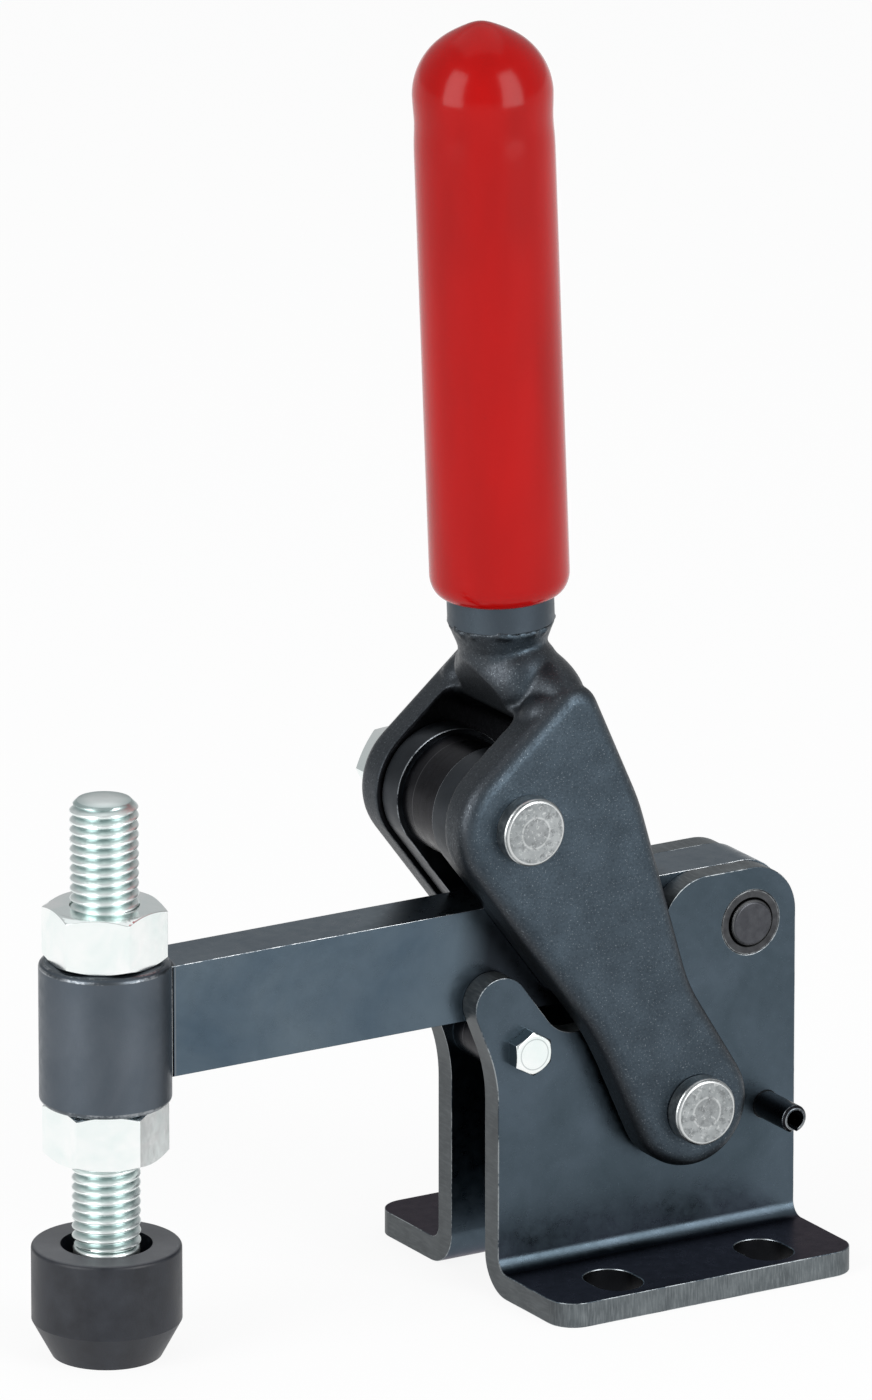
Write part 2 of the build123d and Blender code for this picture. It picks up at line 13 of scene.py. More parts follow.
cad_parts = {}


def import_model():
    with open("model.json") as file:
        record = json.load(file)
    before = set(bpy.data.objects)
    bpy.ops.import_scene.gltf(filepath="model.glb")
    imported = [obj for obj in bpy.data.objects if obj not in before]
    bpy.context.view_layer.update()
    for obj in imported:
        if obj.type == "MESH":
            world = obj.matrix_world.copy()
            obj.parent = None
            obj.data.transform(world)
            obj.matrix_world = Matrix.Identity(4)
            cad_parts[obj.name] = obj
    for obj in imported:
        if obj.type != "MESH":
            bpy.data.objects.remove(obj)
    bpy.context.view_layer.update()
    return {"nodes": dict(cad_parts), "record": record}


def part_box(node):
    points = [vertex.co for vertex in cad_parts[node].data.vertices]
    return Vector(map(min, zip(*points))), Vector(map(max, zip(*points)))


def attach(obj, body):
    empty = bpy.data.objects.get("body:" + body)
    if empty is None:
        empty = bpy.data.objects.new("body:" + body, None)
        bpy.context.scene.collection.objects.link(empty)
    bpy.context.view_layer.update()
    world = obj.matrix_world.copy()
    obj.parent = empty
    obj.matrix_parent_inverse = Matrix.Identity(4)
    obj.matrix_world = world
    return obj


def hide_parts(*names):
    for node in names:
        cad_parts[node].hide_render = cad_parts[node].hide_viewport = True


MM = 0.001

# ---- Camera ---------------------------------------------------------------------
CAMERA_PLACE = Vector((-1.5183, -2.4506, 1.0017))
CAMERA_AIM = Vector((-0.03015, 0.01147, 0.1033))
FRAME_HEIGHT_PX = 1400
FOCAL_LENGTH_PX = 17323
SENSOR_HEIGHT = 24.0
CLIP_END = 100

# ---- Fine geometry --------------------------------------------------------------
MERGE = 0.001 * MM
FLAT_ANGLE = radians(0.3)
SHARP_ANGLE = radians(28)
GRIP_SHARP_ANGLE = radians(60)
SPINDLE_SHARP_ANGLE = radians(50)
ROUND_STEPS = 96
MASS_SEGMENTS, MASS_RINGS = 20, 12               # of one rounded mass in the fork
FIT_GAP = 0.05 * MM                              # from the grip to its tube, and to the CAD grip's tip

PLATE_ROUNDING = 0.3 * MM                        # plates, links, tube, boss and spindle nuts
ARM_ROUNDING = 0.35 * MM
TURNED_ROUNDING = 0.2 * MM                       # headed pins, sleeves and cap
NUT_ROUNDING = 0.18 * MM
PIN_ROUNDING = 0.15 * MM                         # arm pin, toggle pin and stop bolt
BUSH_ROUNDING = 0.12 * MM                        # bushes and spring pin
ROUNDING_SEGMENTS, CAP_SEGMENTS = 2, 3

THREAD_PITCH = 1.75 * MM
THREAD_DEPTH = 1.0 * MM
THREAD_RADIUS = 6.0 * MM
THREAD_SAMPLES = 10                              # along one pitch
THREAD_FULLNESS = 0.8                            # power of the cosine: under 1 widens the crests
THREAD_TIP_CHAMFER = 1.3 * MM
THREAD_FOOT_CHAMFER = 0.6 * MM
COLLAR_RADIUS = 5.8 * MM                         # plain ring under the thread
COLLAR_HEIGHT = 1.8 * MM
COLLAR_ROUNDING = 0.3 * MM
COLLAR_SLOPE_LOW, COLLAR_SLOPE_HIGH = 0.1 * MM, 0.2 * MM     # from its neck out to its rim
COLLAR_SINK = 0.1 * MM                           # of its top, below the cap's rim
NECK_RADIUS = 5.0 * MM
THREAD_OVERLAP, HEAD_OVERLAP = 2 * MM, 1 * MM    # of the neck, inside the thread and the head
HEAD_CORNER_RADIUS = 10.97 * MM                  # spindle's hexagon head, inside the cap
HEAD_LOW, HEAD_HIGH = 5.0 * MM, 12.5 * MM
HEAD_TURN = radians(32.6)

GRIP_LIP_WIDTH, GRIP_LIP_HEIGHT = 2.7 * MM, 3.8 * MM
GRIP_WAIST_DEPTH, GRIP_WAIST_DROP, GRIP_WAIST_SPREAD = 0.22 * MM, 4.4 * MM, 2.8 * MM
GRIP_TIP_RISE, GRIP_TIP_SPREAD = 0.85 * MM, 3.4 * MM
LIP_STEPS, SHAFT_STEPS, DOME_STEPS = 12, 60, 32

FORK_VOXEL = 0.45 * MM
FORK_ROUNDS, FORK_SMOOTHING = 5, 0.5             # smoothing rounds and the share of each
CROWN_FILL = Vector((-20.6, 13.2, 105.6)) * MM   # near and far fill between nose and rims
CROWN_FILL_RADII = Vector((7.2, 5.2, 5.2)) * MM
BEAD_RADIUS = 8.9 * MM                           # weld bead round the tube's foot
BEAD_SIZES = (0.45 * MM, 0.85 * MM)
BEAD_LEAN = (-0.05, 0.02)                        # of a drop, along the tube
BEAD_DROPS = 44
BEAD_SEED = 3

WEB_REACH = 5 * MM                               # of the upright web, from the plate's inner face
BEND_TOP, FLANGE_TOP = 9 * MM, 6 * MM
SLOT_REACH = 7 * MM                              # of a slot's wall, from the slot's middle
EDGE_ON, SQUARE_ON = 0.3, 0.95                   # cosines of faces seen edge-on and square-on

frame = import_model()


# ---- Shader building ------------------------------------------------------------
class Finish:
    """A Principled material under construction, with object coordinates in millimetres."""

    def __init__(self, name, color, metallic, roughness):
        self.material = bpy.data.materials.new(name)
        self.material.use_nodes = True
        self.tree = self.material.node_tree
        self.surface = self.tree.nodes["Principled BSDF"]
        self.set("Base Color", (*color, 1))
        self.set("Metallic", metallic)
        self.set("Roughness", roughness)
        place = self.tree.nodes.new("ShaderNodeTexCoord").outputs["Object"]
        self.place = self.vector_math("SCALE", place, scale=1 / MM)

    def set(self, socket, value):
        """Gives one of the surface's own sockets a constant, or links it to an output."""
        self.plug(self.surface.inputs[socket], value)

    def plug(self, socket, value):
        """Links an output to a socket, or sets the socket's own value."""
        if isinstance(value, bpy.types.NodeSocket):
            self.tree.links.new(value, socket)
        else:
            socket.default_value = value

    def node(self, kind, settings=(), inputs=()):
        """Adds a shader node with its settings and inputs filled in."""
        made = self.tree.nodes.new(kind)
        for key, value in dict(settings).items():
            setattr(made, key, value)
        for key, value in dict(inputs).items():
            self.plug(made.inputs[key], value)
        return made

    def vector_math(self, operation, a, b=None, scale=None):
        """Output of a vector operation: a number for LENGTH and DOT_PRODUCT, else a vector."""
        made = self.node("ShaderNodeVectorMath", {"operation": operation}, {0: a})
        if b is not None:
            self.plug(made.inputs[1], b)
        if scale is not None:
            made.inputs["Scale"].default_value = scale
        return made.outputs["Value" if operation in ("LENGTH", "DOT_PRODUCT") else "Vector"]

    def math(self, operation, a, b=0.0):
        """Output of an operation on numbers."""
        made = self.node("ShaderNodeMath", {"operation": operation}, {0: a, 1: b})
        return made.outputs[0]

    def noise(self, size, detail=3.0, stretch=(1, 1, 1), warp=0.0, rough=0.55):
        """Noise from 0 to 1, with features of about the given size in millimetres."""
        place = self.vector_math("MULTIPLY", self.place, tuple(1 / (size * s) for s in stretch))
        inputs = {
            "Vector": place, "Scale": 1.0, "Detail": detail, "Distortion": warp, "Roughness": rough,
        }
        return self.node("ShaderNodeTexNoise", inputs=inputs).outputs["Fac"]

    def spread(self, value, low, high, out_low=0.0, out_high=1.0):
        """Maps low..high to out_low..out_high, held at its ends."""
        inputs = {
            "Value": value, "From Min": low, "From Max": high, "To Min": out_low, "To Max": out_high,
        }
        return self.node("ShaderNodeMapRange", inputs=inputs).outputs["Result"]

    def mix(self, share, a, b):
        """Colour between a and b, which is b where the share is 1."""
        made = self.node("ShaderNodeMix", {"data_type": "RGBA"}, {"Factor": share})
        for socket, value in zip((made.inputs[6], made.inputs[7]), (a, b)):
            self.plug(socket, value if isinstance(value, bpy.types.NodeSocket) else (*value, 1))
        return made.outputs[2]

    def facing(self, direction):
        """Cosine of the angle between the surface's normal and a direction of the object."""
        normal = self.node("ShaderNodeTexCoord").outputs["Normal"]
        return self.vector_math("DOT_PRODUCT", normal, direction)

    def along(self, axis):
        """Place along an axis of the object, in millimetres."""
        return self.node("ShaderNodeSeparateXYZ", inputs={0: self.place}).outputs[axis]

    def off_line(self, centre, across):
        """Distance in millimetres from a line through centre; across masks the line's own axis."""
        away = self.vector_math("SUBTRACT", self.place, tuple(Vector(centre) / MM))
        return self.vector_math("LENGTH", self.vector_math("MULTIPLY", away, across))

    def band(self, value, middle, half_width, blur):
        """1 where value is within half_width of the middle, blurred to 0 outside."""
        off = self.math("ABSOLUTE", self.math("SUBTRACT", value, middle))
        return self.spread(off, half_width, half_width + blur, 1, 0)

    def bump(self, *layers):
        """Stacks (height, depth in millimetres) layers into one normal."""
        normal = None
        for height, depth in layers:
            inputs = {"Height": height, "Distance": depth * MM, "Strength": 1.0}
            made = self.node("ShaderNodeBump", inputs=inputs)
            if normal is not None:
                self.plug(made.inputs["Normal"], normal)
            normal = made.outputs["Normal"]
        self.set("Normal", normal)


ROUND_Y, ROUND_Z = (1, 0, 1), (1, 1, 0)          # masks for off_line, for lines along Y and Z
PIN_SHADE_CORE, PIN_SHADE_REACH = 17, 24                     # mm, painted shade on the arm round the toggle pin, beside the fork


def oxide(name, dark, light, roughness, grain=1.0, fleck=0.3):
    """Black-oxide steel: cloudy blue-grey over a fine rolled grain."""
    finish = Finish(name, dark, 1.0, roughness)
    clouds = finish.noise(15 * grain, detail=5, warp=0.5)
    grime = finish.noise(1.8 * grain, detail=5)
    pores = finish.noise(0.3 * grain, detail=2)
    colour = finish.mix(finish.spread(clouds, 0.32, 0.68), dark, light)
    sparks = finish.spread(pores, 0.66, 0.8, 0, fleck)
    finish.set("Base Color", finish.mix(sparks, colour, tuple(2.4 * c for c in light)))
    finish.set("Roughness", finish.spread(grime, 0.3, 0.7, roughness - 0.05, roughness + 0.08))
    finish.bump((grime, 0.012), (pores, 0.01))
    return finish


def blued_plate():
    """Blued sheet for the base, with painted shade on top of the flanges."""
    finish = oxide("blued_plate", (0.052, 0.073, 0.09), (0.075, 0.101, 0.126), 0.3)
    finish.set("Specular Tint", (0.7, 0.65, 0.68, 1))
    # painted shade: upward faces are darkened to near black
    up = finish.spread(finish.facing((0, 0, 1)), 0.75, 0.97, 0, 0.9)
    return marked(finish, (up, (0.016, 0.0175, 0.023)))


def worn_edge(name, steel, oxide_colour, share):
    """Edge of an oxide piece, rubbed bright in patches."""
    finish = Finish(name, steel, 1.0, 0.32)
    patches = finish.noise(6, detail=4)
    fine = finish.noise(0.6, detail=3)
    wear = finish.math("ADD", patches, finish.math("MULTIPLY", fine, 0.4))
    rub = finish.spread(wear, share, share + 0.14)
    finish.set("Base Color", finish.mix(rub, oxide_colour, steel))
    finish.bump((fine, 0.015))
    return finish.material


def cut_edge(name, stretch):
    """Cut edge of a plate: bluish grey, scored across its thickness, with painted shade where it faces
    along X.
    """
    finish = Finish(name, (0.1, 0.1, 0.1), 0.8, 0.45)
    score = finish.noise(0.45, detail=4, stretch=stretch)
    blotch = finish.noise(4, detail=3)
    colour = finish.mix(finish.spread(blotch, 0.3, 0.7), (0.08, 0.092, 0.099), (0.125, 0.142, 0.15))
    colour = finish.mix(finish.spread(score, 0.45, 0.75, 0, 0.5), colour, (0.26, 0.285, 0.295))
    # painted shade: faces turned along X are darkened
    ends = finish.spread(finish.math("ABSOLUTE", finish.facing((1, 0, 0))), 0.6, 0.95, 0, 0.45)
    finish.set("Base Color", finish.mix(ends, colour, (0.03, 0.031, 0.033)))
    finish.set("Roughness", finish.spread(score, 0.2, 0.8, 0.36, 0.55))
    finish.bump((score, 0.03))
    return finish.material


def forging():
    """Black forging: pitted and speckled, with painted shade below and between the cheeks, darker
    towards the foot.
    """
    finish = Finish("black_forging", (0.06, 0.075, 0.09), 0.95, 0.42)
    lumps = finish.noise(5, detail=4)
    pits = finish.noise(0.5, detail=4)
    sparks = finish.noise(0.26, detail=1)
    flat = finish.spread(finish.math("ABSOLUTE", finish.facing((0, 1, 0))), 0.6, 0.98)
    # painted shade: faces turned down, and the cheeks' inner faces, go near black
    under = finish.spread(finish.facing((0, 0, -1)), 0.45, 0.85)
    side = finish.math("SIGN", finish.along("Y"))
    inner = finish.spread(finish.math("MULTIPLY", side, finish.facing((0, -1, 0))), 0.3, 0.7)
    colour = finish.mix(finish.spread(lumps, 0.3, 0.7), (0.044, 0.06, 0.075), (0.064, 0.087, 0.108))
    # darker towards the foot
    darker_to_foot = finish.spread(finish.along("Z"), 25, 80, 0.35, 0)
    colour = finish.mix(darker_to_foot, colour, (0.03, 0.038, 0.047))
    colour = finish.mix(flat, (0.05, 0.057, 0.065), colour)
    dark_grain = finish.spread(pits, 0.3, 0.5, 0.4, 0)
    colour = finish.mix(dark_grain, colour, (0.018, 0.023, 0.03))
    worn = finish.spread(flat, 0, 1, 0.4, 0.5)
    wear = finish.math("ADD", sparks, finish.math("MULTIPLY", pits, 0.4))
    rub = finish.spread(wear, 0.85, 0.95, 0, worn)
    colour = finish.mix(rub, colour, (0.26, 0.295, 0.32))
    # painted shade below and between the cheeks
    painted_shade_mask = finish.math("MAXIMUM", under, inner)
    finish.set("Base Color", finish.mix(painted_shade_mask, colour, (0.006, 0.0065, 0.008)))
    finish.set("Roughness", finish.spread(pits, 0.3, 0.7, 0.5, 0.36))
    finish.bump((lumps, 0.06), (pits, 0.05), (sparks, 0.02))
    return finish.material


def zinc(name, roughness):
    """Bright zinc plate with a faint green cast and soft handling marks."""
    finish = Finish(name, (0.86, 0.91, 0.89), 1.0, roughness)
    tint = finish.noise(7, detail=3, warp=0.5)
    marks = finish.noise(1.4, detail=5)
    colour = finish.mix(finish.spread(tint, 0.35, 0.65), (0.87, 0.94, 0.925), (0.97, 0.99, 0.98))
    finish.set("Base Color", colour)
    finish.set("Roughness", finish.spread(marks, 0.3, 0.7, roughness - 0.02, roughness + 0.03))
    finish.bump((tint, 0.01), (marks, 0.0015))
    return finish


def bolt_zinc():
    """Zinc on the stop bolt: painted shade on the flanks, and a faint painted dark ring where the
    chamfer meets the face.
    """
    finish = zinc("stop_bolt_zinc", 0.2)
    chamfer_radius = 2.75
    # painted shade on the hexagon's flanks, and a painted dark ring at the chamfer's edge
    flank_painted_shade = finish.spread(finish.math("ABSOLUTE", finish.facing((0, 1, 0))), 0.5, 0.8, 0.85, 0)
    ring = finish.band(finish.off_line(centre_of("stop_bolt"), ROUND_Y), chamfer_radius, 0.05, 0.12)
    ring = finish.math("MULTIPLY", ring, 0.45)
    return marked(finish, (flank_painted_shade, (0.1, 0.13, 0.14)), (ring, (0.2, 0.24, 0.25)))


def thread_zinc(centre):
    """Zinc on the thread, with painted shade, darker and greener, down in the roots."""
    finish = zinc("thread_zinc", 0.34)
    radius = finish.off_line(centre, ROUND_Z)
    root, crest = (THREAD_RADIUS - THREAD_DEPTH) / MM, THREAD_RADIUS / MM
    worn = finish.noise(1.2, detail=3)
    ragged = finish.math("MULTIPLY", finish.math("SUBTRACT", worn, 0.5), 0.4)
    height = finish.math("ADD", radius, ragged)
    # painted shade: darker towards the roots, full colour on the crests and the end face
    share = finish.spread(height, root + 0.1, crest - 0.15)
    end_face = finish.spread(finish.facing((0, 0, 1)), 0.9, 0.98)
    share = finish.math("MAXIMUM", share, end_face)
    finish.set("Base Color", finish.mix(share, (0.46, 0.56, 0.55), (0.9, 0.96, 0.945)))
    return finish.material


def turned_steel(name, centre, dark, light, roughness=0.34):
    """Steel turned round an axis across the clamp, and the distance from that axis in millimetres."""
    finish = Finish(name, light, 1.0, roughness)
    radius = finish.off_line(centre, ROUND_Y)
    blotch = finish.noise(1.6, detail=5)
    circles = finish.node("ShaderNodeTexNoise", {"noise_dimensions": "1D"}, {"W": radius, "Scale": 4.0})
    turning = circles.outputs["Fac"]
    lines = finish.noise(0.45, detail=3, stretch=(30, 1, 30))
    shade = finish.math("MULTIPLY", finish.math("ADD", blotch, lines), 0.5)
    finish.set("Base Color", finish.mix(finish.spread(shade, 0.36, 0.64), dark, light))
    finish.set("Roughness", finish.spread(blotch, 0.3, 0.7, roughness - 0.05, roughness + 0.08))
    finish.bump((turning, 0.006), (lines, 0.004), (blotch, 0.008))
    return finish, radius


def marked(finish, *marks):
    """Material of a finish with (share, colour) marks laid over its colour."""
    colour = finish.surface.inputs["Base Color"].links[0].from_socket
    for share, paint_colour in marks:
        colour = finish.mix(share, colour, paint_colour)
    finish.set("Base Color", colour)
    return finish.material


def rubber():
    """Dull moulded rubber, with painted light on its upward faces."""
    finish = Finish("black_rubber", (0.012, 0.014, 0.02), 0.0, 0.45)
    finish.set("Specular IOR Level", 0.42)
    dust = finish.noise(5, detail=6)
    grain = finish.noise(0.4, detail=2)
    # painted light: upward faces are paled
    up = finish.spread(finish.facing((0, 0, 1)), 0.7, 1.0, 0, 0.7)
    colour = finish.mix(finish.spread(dust, 0.35, 0.7), (0.006, 0.0075, 0.012), (0.018, 0.021, 0.028))
    finish.set("Base Color", finish.mix(up, colour, (0.12, 0.124, 0.134)))
    finish.set("Roughness", finish.spread(dust, 0.3, 0.7, 0.38, 0.52))
    finish.bump((dust, 0.02), (grain, 0.015))
    return finish.material


def red_dip():
    """Glossy dipped vinyl with faint sags down the grip."""
    finish = Finish("red_dip", (0.36, 0.002, 0.0015), 0.0, 0.16)
    finish.set("Specular IOR Level", 0.2)
    sags = finish.noise(9, detail=2, stretch=(1, 1, 4))
    skin = finish.noise(0.5, detail=2)
    specks = finish.noise(0.35, detail=1)
    colour = finish.mix(finish.spread(sags, 0.3, 0.7), (0.3, 0.0015, 0.001), (0.365, 0.002, 0.0015))
    dots = finish.spread(specks, 0.77, 0.8, 0, 0.5)
    finish.set("Base Color", finish.mix(dots, colour, (0.1, 0.002, 0.002)))
    finish.set("Roughness", finish.spread(skin, 0.3, 0.7, 0.16, 0.22))
    finish.bump((sags, 0.12), (skin, 0.004))
    return finish.material


# ---- Meshes ---------------------------------------------------------------------
def body_of(node):
    """Name of the body that a CAD node belongs to."""
    bodies = frame["record"]["behaviour"]["bodies"]
    return next(body for body, members in bodies.items() if node in members)


def new_piece(node, bm, sharp_angle=SHARP_ANGLE):
    """Links a finished mesh as the piece that stands for a CAD node and rides on its body."""
    mesh = bpy.data.meshes.new(node + "_look")
    bm.to_mesh(mesh)
    bm.free()
    for face in mesh.polygons:
        face.use_smooth = True
    mesh.set_sharp_from_angle(angle=sharp_angle)
    piece = bpy.data.objects.new(node + "_look", mesh)
    bpy.context.scene.collection.objects.link(piece)
    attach(piece, body_of(node))
    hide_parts(node)
    return piece


def cad_mesh(node):
    """Welded copy of a CAD node's mesh, with its flat faces whole."""
    bm = bmesh.new()
    bm.from_mesh(frame["nodes"][node].data)
    bmesh.ops.remove_doubles(bm, verts=bm.verts, dist=MERGE)
    bmesh.ops.dissolve_limit(bm, angle_limit=FLAT_ANGLE, verts=bm.verts, edges=bm.edges)
    return bm


def softened(node, width, segments=ROUNDING_SEGMENTS):
    """Piece for a node with its sharp edges rounded. The rounded strips take material slot 1."""
    bm = cad_mesh(node)
    sharp = [e for e in bm.edges if len(e.link_faces) == 2 and e.calc_face_angle(0) > SHARP_ANGLE]
    bmesh.ops.bevel(
        bm, geom=sharp, offset=width, segments=segments, profile=0.5,
        affect="EDGES", clamp_overlap=True, material=1,
    )
    piece = new_piece(node, bm)
    level = piece.modifiers.new("even_shading", "WEIGHTED_NORMAL")
    level.keep_sharp = True
    return piece


def melted(node, bm):
    """Piece for a node as one skin whose creases have run together."""
    piece = new_piece(node, bm)
    skin = piece.modifiers.new("skin", "REMESH")
    skin.mode = "VOXEL"
    skin.voxel_size = FORK_VOXEL
    skin.use_smooth_shade = True
    settle = piece.modifiers.new("settle", "SMOOTH")
    settle.factor = FORK_SMOOTHING
    settle.iterations = FORK_ROUNDS
    return piece


def ellipsoid(bm, centre, radii):
    """Adds a rounded mass to a mesh."""
    shape = Matrix.Translation(centre) @ Matrix.Diagonal((*radii, 1))
    bmesh.ops.create_uvsphere(
        bm, u_segments=MASS_SEGMENTS, v_segments=MASS_RINGS, radius=1, matrix=shape,
    )


def lathe(bm, profile, base, axis):
    """Adds a closed body of revolution: profile is (radius, height along the axis) from base."""
    turn = axis.to_track_quat("Z", "Y")
    rings = []
    for step in range(ROUND_STEPS):
        angle = 2 * pi * step / ROUND_STEPS
        out = Vector((cos(angle), sin(angle), 0))
        rings.append([bm.verts.new(base + turn @ (out * r + Vector((0, 0, h)))) for r, h in profile])
    for left, right in zip(rings, rings[1:] + rings[:1]):
        for i in range(len(profile) - 1):
            bm.faces.new((left[i], right[i], right[i + 1], left[i + 1]))
    bmesh.ops.remove_doubles(bm, verts=bm.verts, dist=MERGE)
    bmesh.ops.recalc_face_normals(bm, faces=bm.faces)


def thread(bm, centre, low, high):
    """Adds an upright right-hand threaded rod, whose rows of vertices follow the helix."""
    turns = int((high - low) / THREAD_PITCH) + 2
    rings = []
    for step in range(ROUND_STEPS + 1):
        angle = 2 * pi * step / ROUND_STEPS
        ring = []
        for sample in range(-THREAD_SAMPLES, turns * THREAD_SAMPLES):
            phase = sample / THREAD_SAMPLES
            z = min(max(low + (phase + step / ROUND_STEPS) * THREAD_PITCH, low), high)
            rise = (0.5 - 0.5 * cos(2 * pi * phase)) ** THREAD_FULLNESS
            r = THREAD_RADIUS - THREAD_DEPTH * (1 - rise)
            r = min(r, THREAD_RADIUS - THREAD_FOOT_CHAMFER + z - low)
            r = min(r, THREAD_RADIUS - THREAD_TIP_CHAMFER + high - z)
            ring.append(bm.verts.new(centre + Vector((r * cos(angle), r * sin(angle), z))))
        rings.append(ring)
    for left, right in zip(rings, rings[1:]):
        for i in range(len(left) - 1):
            bm.faces.new((left[i], right[i], right[i + 1], left[i + 1]))
    bmesh.ops.remove_doubles(bm, verts=bm.verts, dist=MERGE)
    bmesh.ops.holes_fill(bm, edges=[e for e in bm.edges if e.is_boundary])
    bmesh.ops.recalc_face_normals(bm, faces=bm.faces)


def paint(piece, *materials):
    """Puts the materials into the piece's slots, in order."""
    for material in materials:
        piece.data.materials.append(material)
    return piece


def centre_of(node):
    """Middle of a node's box."""
    low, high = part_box(node)
    return (low + high) / 2


def tube_axis():
    """Middle of the tube's lower end, and its direction, from the rings at its two ends."""
    places = [v.co for v in frame["nodes"]["handle_tube"].data.vertices]
    middle = centre_of("handle_tube").z
    ends = []
    for upper in (False, True):
        ring = [p for p in places if (p.z > middle) == upper]
        ends.append(Vector(tuple((min(c) + max(c)) / 2 for c in zip(*ring))))
    return ends[0], (ends[1] - ends[0]).normalized()


# ---- Finishes -------------------------------------------------------------------
PLATE = blued_plate()
PLATE_WORN = worn_edge("worn_plate_edge", (0.3, 0.325, 0.34), (0.06, 0.075, 0.09), 0.62)
PLATE_CUT = cut_edge("cut_web_edge", (1, 6, 1))
FLANGE_CUT = cut_edge("cut_flange_edge", (0.8, 0.8, 7))
# painted shade: the slots' walls are near black
SLOT_PAINTED_SHADE = oxide("slot_wall_painted_shade", (0.007, 0.0075, 0.009), (0.014, 0.015, 0.017), 0.45).material
LINK_WORN = worn_edge("worn_link_edge", (0.26, 0.28, 0.3), (0.03, 0.034, 0.04), 0.56)
LINK = oxide("link_oxide", (0.024, 0.028, 0.033), (0.042, 0.048, 0.056), 0.34).material
ARM_WORN = worn_edge("worn_arm_edge", (0.66, 0.69, 0.71), (0.12, 0.145, 0.17), 0.58)
RIM_DULL = worn_edge("dull_boss_rim", (0.3, 0.32, 0.34), (0.1, 0.115, 0.13), 0.66)
BOSS = oxide("boss_oxide", (0.076, 0.094, 0.114), (0.108, 0.126, 0.148), 0.38, fleck=0.1).material
FORGING = forging()
ZINC = zinc("zinc_plate", 0.18).material
RUBBER = rubber()
RED = red_dip()
TUBE = oxide("tube_oxide", (0.055, 0.07, 0.086), (0.075, 0.094, 0.112), 0.4).material
SPRING = oxide("spring_oxide", (0.014, 0.014, 0.016), (0.022, 0.022, 0.026), 0.3).material


# ---- Pieces ---------------------------------------------------------------------
def slot_centres():
    """Middles of the flange slots, from the bolt patterns of the record."""
    patterns = [m for m in frame["record"]["mounts"] if m["kind"] == "bolt_pattern"]
    return [
        Vector((pattern["pos_m"][0], side * pattern["dims"]["spacing_y_mm"] / 2 * MM))
        for pattern in patterns for side in (-1, 1)
    ]


BROAD, WORN, WEB_CUT, IN_SLOT, FLANGE_EDGE = range(5)    # a base plate's materials, in order


def plate_material(face, inner, slots):
    """Which of a base plate's materials a face takes, from where it lies and how it faces."""
    upright = abs(face.center.y) < inner + WEB_REACH
    cut_web = upright and abs(face.normal.y) < EDGE_ON and face.center.z > BEND_TOP
    cut_flange = not upright and abs(face.normal.z) < EDGE_ON and face.center.z < FLANGE_TOP
    if cut_flange and min((face.center.xy - slot).length for slot in slots) < SLOT_REACH:
        return IN_SLOT
    if cut_flange:
        return FLANGE_EDGE
    if cut_web or abs(face.normal.x) > SQUARE_ON:
        return WEB_CUT
    return BROAD


def base_plates():
    """Bent plates: broad faces blued, cut edges scored, rims worn, painted shade inside the slots."""
    slots = slot_centres()
    for node in ("near_base_plate", "far_base_plate"):
        piece = softened(node, PLATE_ROUNDING)
        paint(piece, PLATE, PLATE_WORN, PLATE_CUT, SLOT_PAINTED_SHADE, FLANGE_CUT)
        inner = min(abs(corner.y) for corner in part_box(node))
        for face in piece.data.polygons:
            if face.material_index != WORN:
                face.material_index = plate_material(face, inner, slots)


def headed_pins():
    """Bare steel pins with a turned disc in the middle of their heads, drawn with painted shade inside
    and a painted highlight round its rim.
    """
    disc_radius = 2.65
    for node in ("handle_pivot_pin", "link_pin"):
        finish, radius = turned_steel(
            node + "_steel", centre_of(node), (0.27, 0.29, 0.295), (0.38, 0.4, 0.405))
        # painted shade inside the disc, and a painted highlight ring round it
        disc = finish.spread(radius, disc_radius - 0.2, disc_radius, 0.35, 0)
        ring = finish.math("MULTIPLY", finish.band(radius, disc_radius + 0.1, 0.08, 0.16), 0.6)
        specks = finish.spread(finish.noise(1.3, detail=6, rough=0.7), 0.5, 0.62, 0, 0.8)
        glints = finish.spread(finish.noise(0.8, detail=5, rough=0.7, warp=1.0), 0.56, 0.64, 0, 0.9)
        steel = marked(
            finish, (disc, (0.2, 0.21, 0.215)), (ring, (0.6, 0.62, 0.62)),
            (specks, (0.17, 0.18, 0.185)), (glints, (0.54, 0.56, 0.56)),
        )
        rim = worn_edge(node + "_rim", (0.62, 0.64, 0.64), (0.4, 0.41, 0.41), 0.3)
        paint(softened(node, TURNED_ROUNDING), steel, rim)


def arm_pin():
    """Dark arm pin with a faint bright rim."""
    pin_rim = 4.0
    finish, radius = turned_steel(
        "arm_pin_steel", centre_of("arm_pivot_pin"), (0.056, 0.058, 0.066), (0.082, 0.085, 0.093))
    steel = marked(finish, (finish.band(radius, pin_rim, 0.1, 0.1), (0.16, 0.165, 0.17)))
    paint(softened("arm_pivot_pin", PIN_ROUNDING), steel, steel)


def arm_bushes():
    """Dark bushes of the arm pin: painted shade for the gap round the pin, and a partly worn rim."""
    gap_edge, bush_rim = 4.5, 5.75
    for node in ("near_arm_bush", "far_arm_bush"):
        finish, radius = turned_steel(
            node + "_steel", centre_of("arm_pivot_pin"), (0.045, 0.0465, 0.05), (0.08, 0.083, 0.088))
        # painted shade: black round the pin
        gap = finish.spread(radius, gap_edge, gap_edge + 0.12, 1, 0)
        rim = finish.band(radius, bush_rim, 0.05, 0.08)
        patches = finish.spread(finish.noise(0.8, detail=4), 0.42, 0.6, 0.15, 0.6)
        worn = finish.math("MULTIPLY", rim, patches)
        steel = marked(finish, (gap, (0.003, 0.003, 0.003)), (worn, (0.3, 0.32, 0.33)))
        paint(softened(node, BUSH_ROUNDING), steel, steel)


